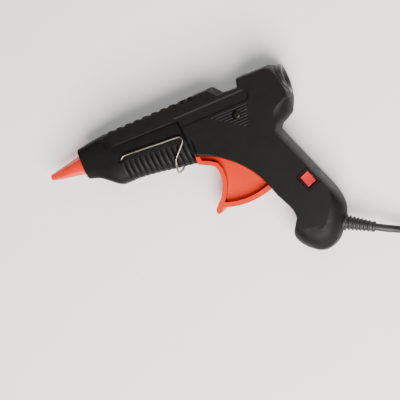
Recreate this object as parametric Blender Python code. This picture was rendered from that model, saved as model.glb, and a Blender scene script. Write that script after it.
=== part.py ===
"""Hot-melt glue gun for 11 mm sticks, lying on its right side with the wire stand folded.

Every size below is in millimetres in the gun's own frame: X runs along the barrel from the nozzle tip
to the rear, Y is the gun's top, Z comes out of its left side. GUN_TO_WORLD moves that frame onto the
bench, so that the right side rests at world Z = 0.
"""

import math

import bmesh
import bpy
from mathutils import Matrix, Vector

MM = 0.001

# Driving dimensions
LENGTH = 196.9            # nozzle tip to the back of the handle
TOP_Y = 15.0              # top of the sight block above the barrel's axis
BUTT_Y = -122.1           # bottom of the butt
HALF_WIDTH = 15.0         # half the housing's width
PARTING = 0.15            # half the gap between the housing halves
WALL = 2.2
GAP = 0.3                 # clearance between neighbouring pieces
CHANNEL_RADIUS = 6.3      # clear way for an 11 mm stick
GUN_TO_WORLD = Vector((-LENGTH / 2, -(TOP_Y + BUTT_Y) / 2, HALF_WIDTH))

NOSE_X = 30.7             # front face of the housing
NOSE_HALF = 12.0          # the nose is a rounded square of twice this
BARREL_END_X = 109.4      # where the barrel ends inside the main housing
BELLY_HALF_WIDTH = 12.2   # the barrel's lower part is set in, so the wire stand lies beside it
VALVE_X = 43.2            # the valve ball's centre on its seat

TRIGGER_PIVOT = (134.5, -15.0)
TRIGGER_PIN_RADIUS = 1.7
TRIGGER_SWING = 26.0      # degrees from rest to fully pulled
ARM_LENGTH = 15.0         # pivot up to the stick's axis
CARRIAGE_X = TRIGGER_PIVOT[0] + ARM_LENGTH * math.tan(math.radians(TRIGGER_SWING / 2))
TRIGGER_HALF_WIDTH = 7.5
HUB_HALF_LENGTH = 11.8    # the hub and the two arms reach this far to each side
GUARD_RADIUS = 55.5       # outside of the guard arc about the trigger's pivot
GUARD_INNER_RADIUS = 52.0
JAW_PIVOT = (129.2, -8.0)
JAW_PIN_RADIUS = 0.6

STAND_PIVOT = (60.0, -8.0)
STAND_WIRE = 1.0          # wire radius
STAND_HALF_WIDTH = 13.6   # wire centre from the mid-plane

SWITCH_CENTRE = (180.9, -70.2)
SWITCH_ANGLE = -68.3      # direction of the switch's long side, along the back of the handle
ROCKER_AXLE_Z = 13.0
ROCKER_TILT = 9.0         # degrees at rest
WIRE_RADIUS = 0.8         # inner wires with their insulation

CORD_RADIUS = 2.7
CORD_EXIT = (190.6, -108.4)
CORD_ANGLE = -29.8        # direction in which the strain relief leaves the butt
BOOT_LENGTH = 24.0
BENCH_Z = -HALF_WIDTH
CORD_LIE_Z = BENCH_Z + CORD_RADIUS + 0.05
COIL_TOUCH = 88.0         # where the lead meets the coil's outermost turn, along the exit line
OUTER_TURN = 40.8         # radius of the outermost turn's middle
INNER_TURN = 24.6
TOP_TURN = 35.4           # the last turn, on the upper layer, from which the tail leaves
COIL_HEIGHT = 10.9
PLUG_Z = BENCH_Z + 7.05
PLUG_LENGTH = 36.0

# Housing screws: x, y and how far out the boss and the outer face of the screw's head reach
SCREWS_RIGHT = ((100.0, -18.5, 9.6, 11.0), (168.0, -23.0, 13.6, 14.6), (170.0, -91.0, 13.6, 14.6))
SCREW_LEFT = (151.3, -10.3, 13.6, 14.6)
SCREW_SHANK = 1.3
SCREW_HEAD = 2.7

# Colours: linear RGB, metallic, roughness
FINISHES = {
    "housing": ((0.012, 0.012, 0.012), 0.0, 0.5),
    "orange": ((1.0, 0.12, 0.03), 0.0, 0.4),
    "silicone_orange": ((1.0, 0.2, 0.08), 0.0, 0.35),
    "red": ((0.8, 0.02, 0.01), 0.0, 0.3),
    "black": ((0.01, 0.01, 0.01), 0.0, 0.45),
    "steel": ((0.75, 0.75, 0.75), 1.0, 0.2),
    "spring_steel": ((0.5, 0.5, 0.5), 1.0, 0.35),
    "brass": ((0.8, 0.55, 0.2), 1.0, 0.3),
    "aluminium": ((0.8, 0.8, 0.8), 1.0, 0.45),
    "silicone_white": ((0.8, 0.78, 0.74), 0.0, 0.5),
    "ceramic": ((0.35, 0.33, 0.3), 0.0, 0.6),
    "glass_cloth": ((0.75, 0.72, 0.6), 0.0, 0.8),
    "nylon": ((0.75, 0.73, 0.68), 0.0, 0.45),
    "rubber": ((0.012, 0.012, 0.013), 0.0, 0.6),
    "wire_brown": ((0.12, 0.04, 0.02), 0.0, 0.5),
    "wire_blue": ((0.02, 0.08, 0.4), 0.0, 0.5),
}


# ---------------------------------------------------------------- helpers

def material(finish):
    """The Principled material of a named finish."""
    colour, metallic, roughness = FINISHES[finish]
    made = bpy.data.materials.get(finish)
    if made is None:
        made = bpy.data.materials.new(finish)
        made.use_nodes = True
        shader = made.node_tree.nodes["Principled BSDF"]
        shader.inputs["Base Color"].default_value = (*colour, 1.0)
        shader.inputs["Metallic"].default_value = metallic
        shader.inputs["Roughness"].default_value = roughness
    return made


def object_of(name, points, faces):
    """An object from points in millimetres and faces, with its faces turned outwards."""
    mesh = bpy.data.meshes.new(name)
    mesh.from_pydata([Vector(point) * MM for point in points], [], faces)
    build = bmesh.new()
    build.from_mesh(mesh)
    bmesh.ops.recalc_face_normals(build, faces=build.faces)
    build.to_mesh(mesh)
    build.free()
    made = bpy.data.objects.new(name, mesh)
    bpy.context.scene.collection.objects.link(made)
    return made


def loft(name, rings, closed=False):
    """A skin over rings of equal point counts: capped at both ends, or closed on itself."""
    count = len(rings[0])
    points = [point for ring in rings for point in ring]
    faces = []
    steps = len(rings) if closed else len(rings) - 1
    for step in range(steps):
        here = step * count
        there = ((step + 1) % len(rings)) * count
        for i in range(count):
            j = (i + 1) % count
            faces.append((here + i, here + j, there + j, there + i))
    if not closed:
        faces.append(tuple(range(count)))
        faces.append(tuple(range((len(rings) - 1) * count, len(rings) * count)))
    return object_of(name, points, faces)


def box(name, low, high):
    """A block between two corners."""
    outline = [(low[0], low[1]), (high[0], low[1]), (high[0], high[1]), (low[0], high[1])]
    return prism(name, outline, low[2], high[2])


def prism(name, outline, z_low, z_high):
    """A flat outline given thickness along Z."""
    return loft(name, [[(x, y, z) for x, y in outline] for z in (z_low, z_high)])


def rod(name, start, end, radius, sides=20):
    """A round bar from start to end."""
    return turned(name, start, end, [(0.0, radius), (1.0, radius)], sides, relative=True)


def turned(name, start, end, profile, sides=24, relative=False, bored=False):
    """A profile of (distance, radius) turned about the line from start towards end."""
    start, end = Vector(start), Vector(end)
    along = end - start
    length = along.length if relative else 1.0
    along.normalize()
    across = along.orthogonal().normalized()
    if abs(along.z) < 0.01:
        across = Vector((0.0, 0.0, 1.0))
    third = along.cross(across)
    rings = []
    for distance, radius in profile:
        centre = start + along * distance * length
        ring = []
        for i in range(sides):
            turn = 2 * math.pi * i / sides
            ring.append(centre + (across * math.cos(turn) + third * math.sin(turn)) * radius)
        rings.append(ring)
    return loft(name, rings, closed=bored)


def turned_x(name, profile, sides=24, bored=False, y=0.0):
    """A profile of (x, radius) turned about the stick's axis."""
    return turned(name, (0, y, 0), (1, y, 0), profile, sides, bored=bored)


HOUSING_STAGES = ("whole", "cavity", "left_shell", "right_shell")


def combine(target, tool, operation):
    """Target joined with or cut by tool, which is used up; the housing's many thin cuts need MANIFOLD."""
    modifier = target.modifiers.new("combine", "BOOLEAN")
    modifier.object = tool
    modifier.operation = operation
    modifier.solver = "MANIFOLD" if target.name.startswith(HOUSING_STAGES) else "EXACT"
    evaluated = target.evaluated_get(bpy.context.evaluated_depsgraph_get())
    result = bpy.data.meshes.new_from_object(evaluated)
    target.modifiers.remove(modifier)
    target.data = result
    bpy.data.objects.remove(tool)
    return target


def join(target, *tools):
    for tool in tools:
        combine(target, tool, "UNION")
    return target


def cut(target, *tools):
    for tool in tools:
        combine(target, tool, "DIFFERENCE")
    return target


def wire(name, route, radius, resolution, smooth_steps=0):
    """A round wire along a route, with filled ends."""
    if smooth_steps:
        route = smooth_route(route, smooth_steps)
    curve = bpy.data.curves.new(name, "CURVE")
    curve.dimensions = "3D"
    curve.bevel_depth = radius * MM
    curve.bevel_resolution = resolution
    curve.use_fill_caps = True
    spline = curve.splines.new("POLY")
    spline.points.add(len(route) - 1)
    for point, place in zip(spline.points, route):
        point.co = (*(Vector(place) * MM), 1.0)
    made = bpy.data.objects.new(name, curve)
    bpy.context.scene.collection.objects.link(made)
    return made


def smooth_route(route, steps):
    """Points on a Catmull-Rom curve through the route."""
    places = [Vector(place) for place in route]
    places.insert(0, places[0] * 2 - places[1])
    places.append(places[-1] * 2 - places[-2])
    smooth = []
    for before, here, after, beyond in zip(places, places[1:], places[2:], places[3:]):
        for step in range(steps):
            t = step / steps
            smooth.append(
                0.5 * (2 * here + (after - before) * t
                       + (2 * before - 5 * here + 4 * after - beyond) * t ** 2
                       + (3 * here - before - 3 * after + beyond) * t ** 3)
            )
    smooth.append(places[-2])
    return smooth


def arc(centre, radius, start, end, steps):
    """Points on an arc; angles in degrees."""
    points = []
    for i in range(steps + 1):
        turn = math.radians(start + (end - start) * i / steps)
        points.append((centre[0] + radius * math.cos(turn), centre[1] + radius * math.sin(turn)))
    return points


def finish(made, finish_name, pivot=(0.0, 0.0, 0.0)):
    """Gives a piece its material and puts its origin on its joint's axis, in the gun's empty."""
    pivot = Vector(pivot) * MM
    made.data.transform(Matrix.Translation(-pivot))
    made.location = pivot
    made.parent = bpy.data.objects["gun_frame"]
    made.data.materials.clear()
    made.data.materials.append(material(finish_name))
    if made.type == "MESH":
        made.data.shade_smooth()
        made.data.set_sharp_from_angle(angle=math.radians(35))
    return made


# ---------------------------------------------------------------- housing

# Each row pairs a point of the outline on the parting plane with the point of the flat side's
# outline that the surface rounds over to: x, y, side x, side y. Clockwise from the front shoulder.
TOP_AND_TAIL = (
    (47.0, 2.4, 58.4, 2.8), (46.0, 8.0, 56.8, 7.0), (47.0, 14.1, 57.5, 11.6), (52.0, 14.7, 60.5, 12.8),
    (90.0, 14.7, 90.0, 12.8), (124.5, 14.7, 124.5, 12.8), (127.0, 15.0, 127.5, 13.2),
    (138.8, 15.0, 138.3, 13.2), (143.1, 8.6, 143.6, 7.3), (158.4, 7.6, 158.8, 6.3),
    (158.8, 13.2, 160.4, 11.8), (160.4, 14.2, 161.8, 12.4), (166.2, 14.2, 166.4, 12.4),
    (168.4, 13.7, 168.6, 12.1), (182.7, 13.6, 181.2, 11.8), (186.2, 12.2, 184.2, 10.2),
    (187.9, 7.6, 186.4, 6.6), (189.4, 0.0, 188.2, 0.0), (190.8, -7.5, 189.8, -8.8),
    (190.9, -13.3, 186.1, -12.1), (188.8, -19.2, 180.7, -14.7), (186.3, -23.5, 176.4, -17.8),
    (181.4, -26.2, 174.6, -21.6), (176.6, -28.2, 173.8, -26.2), (173.9, -30.8, 171.8, -31.4),
    (176.3, -37.0, 173.9, -37.9),
)
HANDLE_CURVE = (
    (192.1, -77.1, 189.8, -78.0), (195.1, -84.3, 191.2, -83.4),
    (196.7, -91.0, 190.3, -88.4), (196.9, -96.3, 188.2, -93.2), (195.1, -102.4, 184.5, -98.6),
    (191.8, -108.6, 180.6, -103.2), (187.6, -113.8, 178.0, -105.4), (184.2, -117.6, 176.0, -105.6),
    (179.3, -120.6, 174.0, -104.9), (173.4, -122.1, 171.5, -103.6), (168.4, -121.4, 168.8, -102.4),
    (164.6, -119.3, 166.6, -101.8), (160.4, -116.0, 164.8, -101.2), (157.1, -111.8, 163.2, -100.5),
    (155.0, -107.6, 161.8, -99.6), (154.7, -103.6, 160.9, -98.2), (156.4, -100.5, 160.9, -96.4),
    (159.4, -97.0, 162.0, -94.2), (161.1, -93.9, 163.3, -92.2), (161.5, -90.2, 163.7, -89.6),
    (160.5, -85.2, 162.7, -84.4), (158.1, -79.8, 160.2, -79.0), (155.1, -74.0, 157.2, -73.0),
    (152.6, -67.0, 154.8, -66.0), (148.4, -56.8, 150.3, -55.4), (142.6, -48.4, 144.3, -46.8),
    (137.2, -42.4, 138.7, -40.6), (131.4, -37.4, 132.6, -35.4), (125.4, -33.1, 126.5, -31.0),
    (118.8, -29.7, 121.0, -27.6),
)
UNDERSIDE = (
    (110.6, -27.2, 113.0, -24.8), (106.5, -22.0, 112.2, -20.0),
    (106.0, -12.0, 112.0, -12.0), (106.0, 1.2, 111.6, 1.4), (100.0, 2.2, 106.0, 2.2),
)
ROUNDING = (0.0, 20.0, 36.0, 49.0, 60.0, 70.0)  # degrees along the rounding, from parting plane to side

# Barrel sections: x, half width, top y, bottom y, squareness (2 is an ellipse)
BARREL_SECTIONS = (
    (NOSE_X, NOSE_HALF, NOSE_HALF, -NOSE_HALF, 4.5), (38.0, NOSE_HALF, 13.0, -14.6, 4.0),
    (43.1, 12.1, 13.7, -18.6, 3.6), (48.0, BELLY_HALF_WIDTH, 14.2, -22.8, 3.2),
    (53.0, BELLY_HALF_WIDTH, 14.2, -25.2, 3.0), (63.8, BELLY_HALF_WIDTH, 14.2, -25.1, 2.8),
    (79.5, BELLY_HALF_WIDTH, 14.2, -26.9, 2.6), (94.8, BELLY_HALF_WIDTH, 14.2, -29.3, 2.6),
    (BARREL_END_X, BELLY_HALF_WIDTH, 14.2, -31.5, 2.6),
)
BARREL_SIDES = 32


def inset(outline, distance):
    """The outline moved inwards; it runs clockwise."""
    moved = []
    for i, here in enumerate(outline):
        before = Vector(outline[i - 1])
        after = Vector(outline[(i + 1) % len(outline)])
        first = (Vector(here) - before).normalized()
        second = (after - Vector(here)).normalized()
        inwards = Vector((first.y + second.y, -first.x - second.x)).normalized()
        spread = max(0.45, inwards.dot(Vector((first.y, -first.x))))
        moved.append(tuple(Vector(here) + inwards * distance / spread))
    return moved


def body_block(name, wall):
    """Upper housing, main housing and handle as one solid, moved inwards by a wall."""
    rows = list(TOP_AND_TAIL) + smooth_route(HANDLE_CURVE, 2) + list(UNDERSIDE)
    middle = inset([(row[0], row[1]) for row in rows], wall)
    side = inset([(row[2], row[3]) for row in rows], wall)
    last = math.radians(ROUNDING[-1])
    rings = []
    for degrees in [-turn for turn in reversed(ROUNDING[1:])] + list(ROUNDING):
        turn = math.radians(degrees)
        out = (HALF_WIDTH - wall) * math.sin(turn) / math.sin(last)
        share = (1 - math.cos(turn)) / (1 - math.cos(last))
        rings.append([
            (m[0] + (s[0] - m[0]) * share, m[1] + (s[1] - m[1]) * share, out)
            for m, s in zip(middle, side)
        ])
    return loft(name, rings)


def barrel_block(name, wall, start, end):
    """The barrel's square nose and deep belly, between two places along the axis."""
    rings = []
    sections = [list(section) for section in smooth_route(BARREL_SECTIONS, 2)]
    sections[0][0] = start
    sections[-1][0] = end
    for x, half, top, bottom, square in sections:
        centre = (top + bottom) / 2
        height = (top - bottom) / 2 - wall
        ring = []
        for i in range(BARREL_SIDES):
            turn = 2 * math.pi * (i + 0.5) / BARREL_SIDES
            c, s = math.cos(turn), math.sin(turn)
            y = centre + height * math.copysign(abs(s) ** (2 / square), s)
            z = (half - wall) * math.copysign(abs(c) ** (2 / square), c)
            ring.append((x, y, z))
        rings.append(ring)
    return loft(name, rings)


def housing():
    """Both housing halves."""
    whole = join(body_block("whole", 0.0), barrel_block("barrel", 0.0, NOSE_X, BARREL_END_X))
    bore = barrel_block("bore", WALL, NOSE_X + WALL + 0.1, BARREL_END_X - 2.8)
    cavity = join(body_block("cavity", WALL), bore)
    join(cavity, box("passage", (100, -17, -8.5), (120, 7, 8.5)))
    cut(whole, cavity)
    join(whole, box("vent_backing", (109.6, 9.7, -11.5), (127.4, 13.4, 11.5)))
    for low, high in ((111.9, 113.0), (117.6, 119.7), (123.5, 126.0)):
        cut(whole, box("vent_slot", (low, 11.6, -20), (high, 20, 20)))
    cut(whole, turned_x("channel", [(100, CHANNEL_RADIUS), (186, CHANNEL_RADIUS)]))
    cut(whole, turned_x("nozzle_hole", [(25, 7.6), (36, 7.6)]))
    cut(whole, turned_x("ring_seat", [(180, 9.3), (187.0, 9.3), (187.0, 11.3), (200, 11.3)]))
    cut(whole, trigger_slot(), cord_seat())
    for x, y, out, _ in SCREWS_RIGHT + (SCREW_LEFT,):
        join(whole, rod("boss", (x, y, -out), (x, y, out), 4.4, 16))
        cut(whole, rod("boss_hole", (x, y, -out + 2.2), (x, y, out - 2.2), SCREW_SHANK + GAP, 12))
    pin_hole = TRIGGER_PIN_RADIUS + GAP
    cut(whole, rod("pin_seat", (*TRIGGER_PIVOT, -14.0), (*TRIGGER_PIVOT, 14.0), pin_hole, 16))
    cut(whole, rod("stand_seat", (*STAND_PIVOT, -20), (*STAND_PIVOT, 20), STAND_WIRE + GAP, 16))
    right = whole.copy()
    bpy.context.scene.collection.objects.link(right)
    cut(right, box("left_side", (-10, -140, -PARTING), (230, 40, 40)))
    cut(whole, box("right_side", (-10, -140, -40), (230, 40, PARTING)))
    whole.name, right.name = "left_shell", "right_shell"
    for x, y, _, face in SCREWS_RIGHT:
        screw_way(right, x, y, -face)
    screw_way(whole, SCREW_LEFT[0], SCREW_LEFT[1], SCREW_LEFT[3])
    cut(whole, oblong("switch_hole", 5.3, 6.8, 5.0, 20.0))
    join(whole, rod("spring_peg", (166.5, -3.0, 13.6), (166.5, -3.0, 8.6), 1.2, 12))
    for x, y in clamp_screw_places():
        join(right, rod("clamp_post", (x, y, -13.6), (x, y, 2.6), 2.8, 16))
        cut(right, rod("post_hole", (x, y, -9.0), (x, y, 3.0), 1.4, 12))
    finish(whole, "housing")
    finish(right, "housing")


def screw_way(shell, x, y, face):
    """Counterbore for a screw's head and the hole for its shank."""
    out = math.copysign(1.0, face)
    recess = rod("head_recess", (x, y, face + 9 * out), (x, y, face - 2.0 * out), SCREW_HEAD + 0.5, 20)
    cut(shell, recess)
    cut(shell, rod("shank_hole", (x, y, face - out), (x, y, -out), SCREW_SHANK + GAP, 12))


def trigger_slot():
    """The opening in the underside through which the trigger swings."""
    x, y = TRIGGER_PIVOT
    outline = [(109.8, -24.0), (109.8, -38.0), (130.0, -60.0)]
    outline += arc(TRIGGER_PIVOT, GUARD_RADIUS + 0.6, -80, -58, 8)
    outline += [(x + 20, y - 8), (112.0, -18.0)]
    half = TRIGGER_HALF_WIDTH + 0.5
    return prism("trigger_slot", outline, -half, half)


def cord_point(distance, z=0.0):
    """A point on the line on which the cord leaves the butt."""
    turn = math.radians(CORD_ANGLE)
    return (CORD_EXIT[0] + distance * math.cos(turn), CORD_EXIT[1] + distance * math.sin(turn), z)


def cord_seat():
    """The hole and counterbore that hold the strain relief in the butt."""
    return join(
        turned("boot_neck_hole", cord_point(-9.0), cord_point(8.0), [(0, 4.5), (14, 4.5)]),
        turned("boot_flange_seat", cord_point(-1.6), cord_point(8.0), [(0, 6.3), (9, 6.3)]),
    )


def switch_point(across, along):
    """A point on the side of the handle, counted from the switch's centre along its two sides."""
    turn = math.radians(SWITCH_ANGLE)
    x = SWITCH_CENTRE[0] + along * math.cos(turn) - across * math.sin(turn)
    y = SWITCH_CENTRE[1] + along * math.sin(turn) + across * math.cos(turn)
    return x, y


def oblong(name, half_across, half_along, z_low, z_high):
    """A block lined up with the switch."""
    corners = ((-1, -1), (1, -1), (1, 1), (-1, 1))
    outline = [switch_point(a * half_across, b * half_along) for a, b in corners]
    return prism(name, outline, z_low, z_high)


def clamp_screw_places():
    """Centres of the cord clamp's two screws."""
    centre = Vector(cord_point(-14.0))
    turn = math.radians(CORD_ANGLE)
    across = Vector((-math.sin(turn), math.cos(turn), 0.0))
    return [tuple((centre + across * side)[:2]) for side in (-6.0, 6.0)]


def screw(name, x, y, head_z, length, head_radius, shank_radius):
    """A pan-head screw whose head faces the way head_z lies from zero."""
    out = math.copysign(1.0, head_z)
    profile = [
        (0.0, head_radius * 0.6), (0.5, head_radius), (1.6, head_radius), (1.6, shank_radius),
        (length, shank_radius),
    ]
    made = turned(name, (x, y, head_z), (x, y, head_z - out), profile, 16)
    reach = head_radius * 0.7
    cut(made, box("driver_slot", (x - 0.3, y - reach, head_z - 0.8), (x + 0.3, y + reach, head_z + 0.8)))
    finish(made, "steel")


def screws():
    """Housing screws and the cord clamp's screws."""
    for i, (x, y, out, face) in enumerate(SCREWS_RIGHT):
        screw(f"housing_screw_right_{i + 1}", x, y, -face, face + out - 4.0, SCREW_HEAD, SCREW_SHANK)
    x, y, out, face = SCREW_LEFT
    screw("housing_screw_left", x, y, face, face + out - 4.0, SCREW_HEAD, SCREW_SHANK)
    for i, (x, y) in enumerate(clamp_screw_places()):
        screw(f"clamp_screw_{i + 1}", x, y, 6.9, 12.0, 2.3, 1.1)


# ---------------------------------------------------------------- nozzle and melting

def nozzle_cover():
    """Silicone cone over the nozzle, held by a collar behind the housing's nose."""
    outer = [(0.4, 2.0), (1.6, 2.5), (26.0, 7.0), (33.4, 7.2), (33.4, 8.8), (35.4, 8.8)]
    inner = [(35.4, 5.3), (26.0, 5.3), (2.0, 1.75), (0.4, 1.6)]
    finish(turned_x("nozzle_cover", outer + inner, 24, bored=True), "silicone_orange")


def nozzle():
    """Brass nozzle screwed into the melt chamber, bored for the valve and the outlet."""
    outer = [
        (0.0, 1.2), (0.6, 1.3), (26.0, 4.8), (36.0, 4.8), (36.0, 6.5), (40.4, 6.5), (40.4, 4.0),
        (45.6, 4.0),
    ]
    inner = [(45.6, 1.8), (44.9, 1.8), (44.5, 2.8), (30.0, 2.8), (28.0, 1.5), (8.0, 0.8), (0.0, 0.8)]
    finish(turned_x("nozzle", outer + inner, 16, bored=True), "brass")


def check_valve():
    """A ball pressed on its seat by a light spring, which keeps the nozzle from dripping."""
    radius = 2.2
    profile = []
    for i in range(1, 10):
        turn = math.pi * i / 10
        profile.append((VALVE_X - radius * math.cos(turn), radius * math.sin(turn)))
    finish(turned_x("valve_ball", profile, 16), "steel", (VALVE_X, 0, 0))
    coil("valve_spring", 31.0, VALVE_X - 2.6, (0, 0), 1.9, 0.3, 5, (VALVE_X, 0, 0))


def coil(name, start, end, centre, radius, wire_radius, turns, pivot=(0, 0, 0)):
    """A coil spring along X."""
    route = []
    count = turns * 8
    for i in range(count + 1):
        turn = 2 * math.pi * i / 8
        x = start + wire_radius + (end - start - 2 * wire_radius) * i / count
        route.append((x, centre[0] + radius * math.cos(turn), centre[1] + radius * math.sin(turn)))
    finish(wire(name, route, wire_radius, 1), "spring_steel", pivot)


def melt_chamber():
    """Cast aluminium chamber: a bored barrel with a pocket under it for the heater."""
    outer = [(41.0, 7.2), (44.0, 9.3), (80.0, 9.3), (80.0, 7.0), (88.0, 7.0)]
    inner = [(88.0, 6.0), (50.0, 6.0), (46.4, 4.3), (41.0, 4.3)]
    made = turned_x("melt_chamber", outer + inner, 28, bored=True)
    pocket = cut(
        box("pocket", (56, -16.6, -7.4), (80, -7.2, 7.4)),
        box("pocket_hole", (55, -15.4, -6.3), (83, -10.0, 6.3)),
    )
    finish(join(made, pocket), "aluminium")


def heater():
    """PTC tablet between two contact plates, in an insulating wrap, held by a spring clamp."""
    finish(box("ptc_heater", (62, -13.7, -5), (78, -11.7, 5)), "ceramic")
    for name, low, side in (("contact_plate_upper", -11.45, 3.0), ("contact_plate_lower", -14.45, -3.0)):
        plate = box(name, (60, low, -5), (80, low + 0.5, 5))
        tab = box("tab", (79, low, side - 1.8), (91, low + 0.5, side + 1.8))
        finish(join(plate, tab), "brass")
    wrap = box("heater_insulation", (57, -15.15, -6), (81, -10.25, 6))
    finish(cut(wrap, box("inside", (50, -14.7, -5.5), (90, -10.7, 5.5))), "glass_cloth")
    clamp = box("heater_clamp", (64, -17.3, -8.0), (74, -9.0, 8.0))
    finish(cut(clamp, box("inside", (60, -16.9, -7.65), (80, 0, 7.65))), "spring_steel")


def inlet_sleeve():
    """Silicone sleeve that seals the stick where it enters the chamber, and its wire clip."""
    profile = [(82.5, 8.0), (104.0, 8.0), (104.0, 6.2), (88.4, 6.2), (88.4, 7.3), (82.5, 7.3)]
    finish(turned_x("inlet_sleeve", profile, 24, bored=True), "silicone_white")
    section = [(x, y) for x, y in reversed(arc((85.0, 8.6), 0.3, 0, 300, 5))]
    finish(turned_x("sleeve_clip", section, 24, bored=True), "spring_steel")


def inlet_ring():
    """Ring that guides the stick in at the rear, with a flared mouth and a long neck."""
    outer = [
        (164.0, 7.6), (180.5, 7.6), (180.5, 9.0), (187.3, 9.0), (187.3, 11.0), (190.4, 11.0),
        (191.2, 10.4),
    ]
    inner = [(191.2, 8.6), (188.5, 6.6), (164.0, 6.5)]
    finish(turned_x("inlet_ring", outer + inner, 28, bored=True), "black")


# ---------------------------------------------------------------- feed mechanism

def feed_carriage():
    """Sliding frame round the stick, moved by the trigger's arms on its two trunnions."""
    made = box("feed_carriage", (117.5, -9.4, -8), (139.9, 8.6, 8))
    reach = HUB_HALF_LENGTH
    join(made, rod("trunnions", (CARRIAGE_X, 0, -reach), (CARRIAGE_X, 0, reach), 1.75, 16))
    cut(made, turned_x("stick_way", [(110, 6.5), (150, 6.5)]))
    cut(made, box("jaw_slot", (119.2, -20, -3.2), (131.4, -5, 3.2)))
    x, y = JAW_PIVOT
    cut(made, rod("jaw_pin_hole", (x, y, -7.4), (x, y, 7.4), JAW_PIN_RADIUS + GAP, 12))
    finish(made, "nylon", (CARRIAGE_X, 0, 0))
    finish(rod("jaw_pin", (x, y, -7.1), (x, y, 7.1), JAW_PIN_RADIUS, 12), "steel", (CARRIAGE_X, 0, 0))


def grip_jaw():
    """Toothed lever that tips up and bites the stick as the carriage moves."""
    x, y = JAW_PIVOT
    outline = [(x - 9.4, y - 1.0), (x + 1.4, y - 1.3), (x + 1.9, y), (x + 1.4, y + 1.3), (x - 5.0, y + 1.1)]
    for tooth in range(3):
        edge = x - 5.6 - tooth * 1.3
        outline += [(edge, y + 1.3), (edge - 0.6, y + 0.5)]
    made = prism("grip_jaw", outline, -2.8, 2.8)
    cut(made, rod("bore", (x, y, -4), (x, y, 4), JAW_PIN_RADIUS + GAP, 12))
    finish(made, "steel", (x, y, 0))


FINGER_FRONT = (
    (111.0, -23.5), (110.4, -28.0), (110.3, -32.2), (118.2, -36.0), (121.3, -38.2), (122.7, -42.0),
    (122.5, -47.3), (121.2, -52.2), (118.9, -56.8), (115.8, -61.0), (112.7, -63.7), (109.9, -66.5),
    (109.6, -69.1), (110.6, -70.6), (112.8, -69.9), (115.3, -67.3),
)
FINGER_BACK = (
    (118.6, -62.6), (121.8, -58.4), (124.2, -53.2), (125.6, -47.6), (125.8, -41.6), (124.0, -36.4),
    (119.5, -33.2), (113.6, -30.4), (113.6, -23.5),
)


def trigger():
    """Finger plate, web, guard arc, hub and two forked arms in one moulding."""
    x, y = TRIGGER_PIVOT
    half = TRIGGER_HALF_WIDTH
    made = prism("trigger", FINGER_FRONT + FINGER_BACK, -half, half)
    guard = arc(TRIGGER_PIVOT, GUARD_RADIUS, -110.5, -68, 14)
    guard += arc(TRIGGER_PIVOT, GUARD_INNER_RADIUS, -68, -110.5, 14)
    join(made, prism("guard", guard, -half, half))
    web = [
        (112.4, -24.0), (112.0, -31.5), (120.5, -35.8), (124.5, -41.8), (124.2, -47.5),
        (122.6, -52.8), (119.0, -59.0),
    ]
    web += arc(TRIGGER_PIVOT, GUARD_INNER_RADIUS + 1.5, -107, -69, 12)
    web += [(x + 4.0, y), (x - 4.0, y + 1.5)]
    join(made, prism("web", web, -2.7, 2.7))
    reach = HUB_HALF_LENGTH
    join(made, rod("hub", (x, y, -reach), (x, y, reach), 5.0, 24))
    join(made, trigger_arm(8.6, reach), trigger_arm(-reach, -8.6))
    cut(made, rod("bore", (x, y, -15), (x, y, 15), TRIGGER_PIN_RADIUS + GAP, 16))
    finish(made, "orange", (x, y, 0))
    finish(rod("trigger_pivot", (x, y, -13.7), (x, y, 13.7), TRIGGER_PIN_RADIUS, 16), "steel")


def trigger_arm(z_low, z_high):
    """A forked arm that leans back by half the trigger's swing."""
    lean = math.radians(TRIGGER_SWING / 2)
    shape = [
        (-3.7, -3.0), (-3.7, 18.4), (-2.1, 18.4), (-2.1, 11.5), (2.1, 11.5), (2.1, 18.4), (3.7, 18.4),
        (3.7, -3.0),
    ]
    outline = []
    for across, along in shape:
        outline.append((
            TRIGGER_PIVOT[0] + along * math.sin(lean) + across * math.cos(lean),
            TRIGGER_PIVOT[1] + along * math.cos(lean) - across * math.sin(lean),
        ))
    return prism("arm", outline, z_low, z_high)


# ---------------------------------------------------------------- wire stand and switch

STAND_SIDE = (
    (60.0, -8.0, 10.6), (60.0, -8.0, 12.4), (60.9, -7.4, 13.5), (63.7, -5.9, STAND_HALF_WIDTH),
    (75.0, -6.5, STAND_HALF_WIDTH), (90.0, -7.6, STAND_HALF_WIDTH), (104.6, -8.6, STAND_HALF_WIDTH),
    (107.6, -10.0, STAND_HALF_WIDTH), (107.8, -12.8, STAND_HALF_WIDTH), (103.5, -17.4, STAND_HALF_WIDTH),
    (98.8, -22.2, STAND_HALF_WIDTH), (97.0, -26.2, 12.6), (95.4, -29.8, 9.2), (93.9, -31.8, 4.2),
)


def wire_stand():
    """Bent spring wire that folds beside the barrel and swings down to hold the nozzle up."""
    other = [(x, y, -z) for x, y, z in reversed(STAND_SIDE)]
    route = list(STAND_SIDE) + [(93.5, -32.2, 0.0)] + other
    finish(wire("wire_stand", route, STAND_WIRE, 2, smooth_steps=2), "steel", (*STAND_PIVOT, 0))


def switch():
    """Rocker switch set in the left side of the handle, with two terminals below."""
    body = oblong("switch_body", 5.0, 6.5, 4.6, 14.7)
    cut(body, oblong("rocker_well", 3.8, 5.2, 10.0, 20.0))
    axis = [(*switch_point(side, 0), ROCKER_AXLE_Z) for side in (-4.6, 4.6)]
    cut(body, rod("axle_holes", *axis, 1.0, 12))
    finish(body, "black")
    for i, along in enumerate((-3.0, 3.0)):
        x, y = switch_point(0, along)
        finish(box(f"switch_terminal_{i + 1}", (x - 0.4, y - 2.0, -2.6), (x + 0.4, y + 2.0, 4.3)), "brass")
        finish(box(f"crimp_{i + 1}", (x - 1.4, y - 2.2, -8.4), (x + 1.4, y + 2.2, -2.9)), "nylon")


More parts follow.
